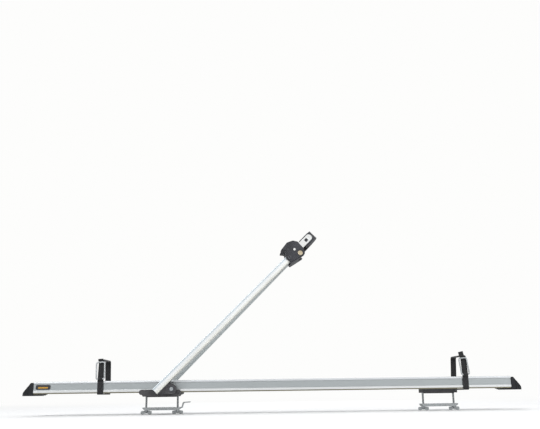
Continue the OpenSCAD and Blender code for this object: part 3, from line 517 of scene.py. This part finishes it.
def thread_tree():
    """A screw thread standing on every point that comes in."""
    tree, given = new_tree("Screw thread", ("Pitch", "NodeSocketFloat"), ("Radius", "NodeSocketFloat"),
                           ("Height", "NodeSocketFloat"), ("Material", "NodeSocketMaterial"))
    turns = add(tree, "ShaderNodeMath", {0: given["Height"], 1: given["Pitch"]}, operation="DIVIDE").outputs[0]
    coil = add(tree, "GeometryNodeCurveSpiral", {"Resolution": 14, "Rotations": turns,
                                                 "Start Radius": given["Radius"], "End Radius": given["Radius"],
                                                 "Height": given["Height"]}).outputs["Curve"]
    crest = add(tree, "ShaderNodeMath", {0: given["Pitch"], 1: CREST_SHARE}, operation="MULTIPLY").outputs[0]
    ring = add(tree, "GeometryNodeCurvePrimitiveCircle", {"Resolution": 4, "Radius": crest}).outputs["Curve"]
    ridge = add(tree, "GeometryNodeCurveToMesh", {"Curve": coil, "Profile Curve": ring,
                                                  "Fill Caps": True}).outputs["Mesh"]
    stood = add(tree, "GeometryNodeInstanceOnPoints", {"Points": given["Geometry"],
                                                       "Instance": ridge}).outputs["Instances"]
    return close_tree(tree, stood, given["Material"])


# Straps

def loop_stations(x, steps):
    """Stations round the strap loop at the middle of its thickness: centre, side and out directions."""
    stations = []
    for i, (here, radius) in enumerate(LOOP):
        p, q, s = Vector(LOOP[i - 1][0]), Vector(here), Vector(LOOP[(i + 1) % len(LOOP)][0])
        a, b = (p - q).normalized(), (s - q).normalized()
        half = a.angle(b) / 2
        middle = q + (a + b).normalized() * radius / math.sin(half)
        v1, v2 = q + a * radius / math.tan(half) - middle, q + b * radius / math.tan(half) - middle
        a1 = math.atan2(v1.y, v1.x)
        sweep = (math.atan2(v2.y, v2.x) - a1 + math.pi) % (2 * math.pi) - math.pi
        for k in range(steps + 1):
            out = Vector((math.cos(a1 + sweep * k / steps), math.sin(a1 + sweep * k / steps)))
            spot = middle + out * (radius + STRAP_THICK / 2)
            stations.append((Vector((x, spot.x, spot.y)), ACROSS, Vector((0, out.x, out.y))))
    return stations


def fold_stations(place):
    """Stations round the fold that holds a buckle's hinge bar."""
    turn = place.to_3x3()
    middle = (RING_IN + RING_OUT) / 2
    stations = []
    for k in range(RING_STEPS):
        angle = 2 * math.pi * k / RING_STEPS
        out = turn @ Vector((0, math.cos(angle), math.sin(angle)))
        stations.append((place.translation + out * middle, turn @ ACROSS, out))
    return stations


def tail_stations(place, reach, sideways):
    """Stations along a free tail that rises out of its buckle."""
    turn = place.to_3x3() @ Matrix.Rotation(sideways, 3, "Z")
    spot = place @ Vector((0, BUCKLE_LEN + TAIL_START, -BUCKLE_LIFT - TAIL_DROP))
    first, last = TAIL_RISE
    stations = []
    for k in range(TAIL_STEPS + 1):
        rise = math.radians(first + (last - first) * k / TAIL_STEPS)
        ahead = turn @ Vector((0, math.cos(rise), math.sin(rise)))
        stations.append((spot, turn @ ACROSS, turn @ Vector((0, -math.sin(rise), math.cos(rise)))))
        spot = spot + ahead * reach / TAIL_STEPS
    return stations


def band_profile(wide, thick, weave):
    """Closed outline of a strap's cross section with ribbed faces and round edges."""
    count = max(4, int(wide / weave))
    face = []
    for k in range(2 * count + 1):
        x = -wide / 2 + EDGE_ROUND + (wide - 2 * EDGE_ROUND) * k / (2 * count)
        face.append((x, thick / 2 - (RIB_DEPTH if k % 2 == 0 else 0.0)))
    edge = [(wide / 2, thick * EDGE_SHARE), (wide / 2, -thick * EDGE_SHARE)]
    return face + edge + [(x, -z) for x, z in reversed(face)] + [(-x, z) for x, z in reversed(edge)]


def sweep_band(shape, stations, profile, closed):
    """Joins the profile along stations of centre, side and out directions, with a strap map in metres."""
    uv = shape.loops.layers.uv.get("strap") or shape.loops.layers.uv.new("strap")
    girth = [0.0]
    for a, b in zip(profile, profile[1:] + profile[:1]):
        girth.append(girth[-1] + math.dist(a, b))
    run = [0.0]
    for a, b in zip(stations, stations[1:] + stations[:1]):
        run.append(run[-1] + (a[0] - b[0]).length)
    rings = [[shape.verts.new(c + side * x + out * z) for x, z in profile] for c, side, out in stations]
    size = len(profile)
    for i in range(len(rings) if closed else len(rings) - 1):
        here, there = rings[i], rings[(i + 1) % len(rings)]
        for j in range(size):
            k = (j + 1) % size
            face = shape.faces.new((here[j], there[j], there[k], here[k]))
            marks = ((girth[j], run[i]), (girth[j], run[i + 1]), (girth[j + 1], run[i + 1]), (girth[j + 1], run[i]))
            for loop, mark in zip(face.loops, marks):
                loop[uv].uv = mark
    if not closed:
        shape.faces.new(rings[0])
        shape.faces.new(reversed(rings[-1]))


def buckle_place(x, tilt):
    """Frame of a buckle's hinge bar: x along it, y up the strap, z outwards."""
    up = Vector((0, math.cos(SLOPE), math.sin(SLOPE)))
    out = Vector((0, -math.sin(SLOPE), math.cos(SLOPE)))
    foot = Vector((x, -SIDE, LIP)) + up * BUCKLE_START + out * (STRAP_THICK + BUCKLE_LIFT)
    return Matrix.Translation(foot) @ Matrix.Rotation(SLOPE, 4, "X") @ Matrix.Rotation(tilt, 4, "Z")


def boxed_seam(shape, x):
    """Edges of a boxed and crossed seam on both sides of a strap."""
    half = STRAP_WIDE / 2 - SEAM_IN
    for sign in (-1, 1):
        y = sign * (SIDE + STRAP_THICK - SEAM_SINK)
        corners = ((-half, SEAM_LOW), (half, SEAM_LOW), (half, SEAM_TOP), (-half, SEAM_TOP))
        spots = [Vector((x + dx, y, z)) for dx, z in corners]
        points = [shape.verts.new(spot) for spot in spots]
        for i in range(4):
            shape.edges.new((points[i], points[(i + 1) % 4]))
        for a, b in ((0, 2), (1, 3)):
            shape.edges.new([shape.verts.new(spots[a]), shape.verts.new(spots[b])])


# Stage

def lay_floor(scene, colours):
    """Pale floor that takes shadows near the carrier and fades to the backdrop further out."""
    middle = (FLOOR_MIDDLE, 0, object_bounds()[0].z - FLOOR_GAP)

    def ground(shape):
        bmesh.ops.create_circle(shape, cap_ends=True, segments=64, radius=FLOOR_R)
        bmesh.ops.translate(shape, vec=middle, verts=shape.verts)

    floor = bpy.data.objects.new("floor", mesh_from("floor", ground, False))
    scene.collection.objects.link(floor)
    made, tree, shader, coords = blank("Pale floor", Roughness=0.9)
    cloud = add(tree, "ShaderNodeTexNoise", {"Vector": coords, "Scale": 1 / CLOUD["floor"],
                                             "Detail": 2.0}).outputs["Fac"]
    pale = tuple(colours.floor)
    shade = add(tree, "ShaderNodeValToRGB", {"Fac": cloud},
                ((0.3, dimmed(pale, 0.985)), (0.7, pale))).outputs["Color"]
    finish_with(tree, shader, shade)
    away = add(tree, "ShaderNodeVectorMath", {0: coords, 1: middle}, operation="DISTANCE").outputs["Value"]
    far = add(tree, "ShaderNodeMapRange", {"Value": away, "From Min": FADE_START, "From Max": FADE_END},
              interpolation_type="SMOOTHSTEP").outputs["Result"]
    fade = add(tree, "ShaderNodeMath", {0: far, 1: background_rays(tree)}, operation="MULTIPLY").outputs[0]
    glow = add(tree, "ShaderNodeEmission", {"Color": (*colours.backdrop, 1), "Strength": 1.0}).outputs[0]
    both = add(tree, "ShaderNodeMixShader", {0: fade, 1: shader.outputs[0], 2: glow}).outputs[0]
    tree.links.new(both, tree.nodes["Material Output"].inputs["Surface"])
    floor.data.materials.append(made)
    floor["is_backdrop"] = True


def light_world(scene, colours):
    """Soft light from all round, brighter from above, behind a plain backdrop."""
    world = bpy.data.worlds.new("Studio")
    scene.world = world
    world.use_nodes = True
    tree = world.node_tree
    tree.nodes.clear()
    aloft = add(tree, "ShaderNodeTexCoord").outputs["Generated"]
    aloft = add(tree, "ShaderNodeSeparateXYZ", {"Vector": aloft}).outputs["Z"]
    dome = add(tree, "ShaderNodeValToRGB", {"Fac": aloft},
               ((0.0, tuple(colours.sky_low)), (0.7, tuple(colours.sky_high)))).outputs["Color"]
    sky = add(tree, "ShaderNodeBackground", {"Color": dome, "Strength": SKY_STRENGTH}).outputs[0]
    back = add(tree, "ShaderNodeBackground", {"Color": (*colours.backdrop, 1), "Strength": 1.0}).outputs[0]
    mixed = add(tree, "ShaderNodeMixShader", {0: background_rays(tree), 1: sky, 2: back}).outputs[0]
    add(tree, "ShaderNodeOutputWorld", {"Surface": mixed})


def hang_lamps(scene):
    for name, (place, size, power) in LAMPS.items():
        lamp = bpy.data.lights.new(name, "AREA")
        lamp.size, lamp.energy = size, power
        holder = bpy.data.objects.new(name, lamp)
        scene.collection.objects.link(holder)
        holder.location = place
        holder.rotation_euler = (AIM - Vector(place)).to_track_quat("-Z", "Y").to_euler()


def set_camera(scene):
    data = bpy.data.cameras.new("Camera")
    data.sensor_width, data.lens = SENSOR, LENS
    data.clip_start, data.clip_end = CLIP_START, CLIP_END
    camera = bpy.data.objects.new("Camera", data)
    scene.collection.objects.link(camera)
    yaw, pitch, roll = (math.radians(angle) for angle in CAMERA_ANGLES)
    turn = Matrix.Rotation(yaw, 4, "Z") @ Matrix.Rotation(math.pi / 2 + pitch, 4, "X") @ Matrix.Rotation(roll, 4, "Z")
    camera.matrix_world = Matrix.Translation(CAMERA_AT) @ turn
    scene.camera = camera


class CARRIER_OT_aluminium(bpy.types.Operator):
    """Gives the channel and the legs their drawn, anodised finish"""
    bl_idname = "carrier.aluminium"
    bl_label = "Channel and legs"

    def execute(self, context):
        sizes, colours = context.scene.carrier_sizes, context.scene.carrier_colours
        # The middle strip is painted shade under the lower lip
        strips = ((BAND_STRIP, True, tuple(colours.band)), (PAINTED_SHADOW_STRIP, True, tuple(colours.shadow_line)),
                  (LIP_STRIP, False, tuple(colours.lip)))
        channel = anodised_aluminium("Anodised channel", tuple(colours.aluminium), sizes.streak, strips=strips)
        dress(["tray_channel"], channel)
        # The near leg gets painted light and shade across its width
        near_painted_light = tuple((place, linear(text)) for place, text in LEG_PAINTED_LIGHT)
        # The far leg's darker colour is painted shade
        for name, paint, painted_light in (("near_leg", colours.near_leg, near_painted_light), ("far_leg", colours.far_leg, ())):
            leg = anodised_aluminium("Anodised " + name, tuple(paint), sizes.streak, ARM_ANGLE, LEG_LEAN, painted_light=painted_light)
            dress([name], leg)
        return {"FINISHED"}


class CARRIER_OT_mouldings(bpy.types.Operator):
    """Gives feet, caps, shoes and the clamp head their grained plastic, and the pads their rubber"""
    bl_idname = "carrier.mouldings"
    bl_label = "Mouldings and pads"

    def execute(self, context):
        sizes, colours = context.scene.carrier_sizes, context.scene.carrier_colours
        dress(["near_head_shell", "far_head_shell", "cam_lever", "saddle", "claw"],
              moulded_plastic("Moulded nylon", tuple(colours.plastic), sizes.grain))
        dress(["front_foot", "rear_foot", "near_shoe", "far_shoe"],
              moulded_plastic("Moulded foot nylon", tuple(colours.foot), sizes.grain))
        dress(["front_end_cap", "rear_end_cap"],
              moulded_plastic("Moulded cap nylon", tuple(colours.cap), sizes.grain))
        dress(["front_bar_pad", "rear_bar_pad", "saddle_pad", "claw_pad"],
              moulded_plastic("Moulded rubber", tuple(colours.rubber), sizes.rubber_grain, dull=(0.72, 0.86),
                              depth=0.1 * MM, edge=0.8 * MM))
        return {"FINISHED"}


class CARRIER_OT_fittings(bpy.types.Operator):
    """Gives bolts, plates, nuts, wire and lock their metals, and cuts the clamp bolts' threads"""
    bl_idname = "carrier.fittings"
    bl_label = "Bolts, plates and lock"

    def execute(self, context):
        sizes, colours = context.scene.carrier_sizes, context.scene.carrier_colours
        zinc = plated_steel("Zinc plated steel", tuple(colours.zinc))
        nodes = ["pivot_bolts", "pivot_nuts", "lock_tongue"]
        for end in ("front", "rear"):
            nodes += [end + part for part in ("_clamp_bolts", "_clamp_plate", "_wing_nut_fore", "_wing_nut_aft",
                                              "_buckle")]
        dress(nodes, zinc)
        dress(["guide_pins", "claw_plate", "claw_hinge_pin"],
              plated_steel("Nickel plated steel", tuple(colours.nickel)))
        dress(["cap_screws", "pivot_washers", "shoe_rivets", "head_screws", "lever_bolt"],
              black_oxide("Black oxide steel", tuple(colours.oxide)))
        brass = turned_brass("Turned brass", tuple(colours.brass))
        dress(["lock_barrel"], brass)

        middle = HEAD @ Vector((LOCK_AT[0], 0, LOCK_AT[1]))
        lock = Matrix.Translation(middle) @ Matrix.Rotation(-math.pi / 2, 4, "X")
        outline = [(LOCK_R + out * MM, -HEAD_HALF + up * MM) for out, up in COLLAR]
        collar = mesh_from("lock_collar", lambda shape: turned(shape, lock, outline, True))
        new_piece("lock_collar", collar, brass, "arm")

        screw = thread_tree()
        for end, body in (("front", "tray"), ("rear", "rear_clamp")):
            low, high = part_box(end + "_clamp_bolts")
            places = [low.x + HEAD_LONG / 2, high.x - HEAD_LONG / 2]
            start = low.z + sizes.pitch

            def spots(shape):
                for x in places:
                    shape.verts.new((x, 0, start))

            bolts = mesh_from(end + "_bolts", lambda shape: cut_bolts(shape, places, low, high, sizes.pitch), False)
            pair = new_piece(end + "_bolts", bolts, zinc, body)
            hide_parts(end + "_clamp_bolts")
            values = {"Pitch": sizes.pitch, "Radius": BOLT_R - CREST_SHARE * sizes.pitch,
                      "Height": THREAD_TOP - start, "Material": zinc}
            baked(end + "_bolt_thread", mesh_from("spots", spots, False), screw, values, body)
        return {"FINISHED"}


class CARRIER_OT_straps(bpy.types.Operator):
    """Weaves the two straps with their folded ends and free tails"""
    bl_idname = "carrier.straps"
    bl_label = "Straps"

    def execute(self, context):
        sizes, colours = context.scene.carrier_sizes, context.scene.carrier_colours
        cloth = woven_webbing("Woven webbing", tuple(colours.webbing), sizes.weave)
        stitches = stitch_tree()
        sewing = plain_film("Bonded sewing thread", tuple(colours.thread), roughness=0.7)
        band = band_profile(STRAP_WIDE, STRAP_THICK, sizes.weave)
        fold = band_profile(2 * RING_HALF, RING_OUT - RING_IN, sizes.weave)
        slim = band_profile(STRAP_WIDE * TAIL_WIDE, STRAP_THICK * TAIL_THICK, sizes.weave)
        for end, (x, tilt, tail, tail_turn) in STRAPS.items():
            place = buckle_place(x, tilt)

            def weave(shape):
                sweep_band(shape, loop_stations(x, sizes.strap_steps), band, True)
                sweep_band(shape, fold_stations(place), fold, True)
                sweep_band(shape, tail_stations(place, tail, tail_turn), slim, False)
                bmesh.ops.recalc_face_normals(shape, faces=shape.faces)

            strap = new_piece(end + "_webbing", mesh_from(end + "_webbing", weave), cloth, end + "_band")
            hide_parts(end + "_strap")
            seam = mesh_from(end + "_seam", lambda shape: boxed_seam(shape, x), False)
            values = {"Pitch": sizes.stitch, "Radius": sizes.stitch_radius, "Material": sewing}
            baked(end + "_stitching", seam, stitches, values, end + "_band")
        return {"FINISHED"}


class CARRIER_OT_plate(bpy.types.Operator):
    """Sets a bare plate with a plain stripe on the channel's side"""
    bl_idname = "carrier.plate"
    bl_label = "Bare plate"

    def execute(self, context):
        sizes, colours = context.scene.carrier_sizes, context.scene.carrier_colours
        wide, tall, thick = sizes.plate_width, sizes.plate_height, PLATE_THICK
        middle = PLATE_AT - Vector((0, thick / 2, 0))
        film = plain_film("Plate film", tuple(colours.plate), roughness=0.35)
        plate = mesh_from("side_plate", lambda shape: slab(shape, wide, tall, thick, middle), False)
        new_piece("side_plate", plate, film, "tray")

        lower = middle - Vector((0, thick * STRIPE_OUT, tall * STRIPE_DOWN))
        wide, tall, thick = wide * STRIPE_WIDE, tall * STRIPE_TALL, thick * STRIPE_THICK
        film = plain_film("Plate stripe", tuple(colours.stripe), roughness=0.4)
        stripe = mesh_from("side_plate_stripe", lambda shape: slab(shape, wide, tall, thick, lower), False)
        new_piece("side_plate_stripe", stripe, film, "tray")
        return {"FINISHED"}


class CARRIER_OT_stage(bpy.types.Operator):
    """Lays the pale floor, hangs the soft lights and sets the camera"""
    bl_idname = "carrier.stage"
    bl_label = "Studio"

    def execute(self, context):
        scene, colours = context.scene, context.scene.carrier_colours
        scene.view_settings.view_transform = "Standard"
        lay_floor(scene, colours)
        light_world(scene, colours)
        hang_lamps(scene)
        set_camera(scene)
        return {"FINISHED"}


OPERATORS = (CARRIER_OT_aluminium, CARRIER_OT_mouldings, CARRIER_OT_fittings, CARRIER_OT_straps, CARRIER_OT_plate,
             CARRIER_OT_stage)


class CARRIER_PT_sidebar(bpy.types.Panel):
    """Lists the carrier's pieces and the values behind them"""
    bl_idname = "CARRIER_PT_sidebar"
    bl_label = "Bike carrier"
    bl_space_type = "VIEW_3D"
    bl_region_type = "UI"
    bl_category = "Carrier"

    def draw(self, context):
        for made in OPERATORS:
            self.layout.operator(made.bl_idname)
        for group in (context.scene.carrier_sizes, context.scene.carrier_colours):
            for key in group.__annotations__:
                self.layout.prop(group, key)


CLASSES = (CarrierColours, CarrierSizes, *OPERATORS, CARRIER_PT_sidebar)


def register():
    for made in CLASSES:
        bpy.utils.register_class(made)
    bpy.types.Scene.carrier_colours = PointerProperty(type=CarrierColours)
    bpy.types.Scene.carrier_sizes = PointerProperty(type=CarrierSizes)


def unregister():
    del bpy.types.Scene.carrier_sizes
    del bpy.types.Scene.carrier_colours
    for made in reversed(CLASSES):
        bpy.utils.unregister_class(made)


def main():
    register()
    bpy.ops.carrier.aluminium()
    bpy.ops.carrier.mouldings()
    bpy.ops.carrier.fittings()
    bpy.ops.carrier.straps()
    bpy.ops.carrier.plate()
    bpy.ops.carrier.stage()


if __name__ == "__main__":
    main()
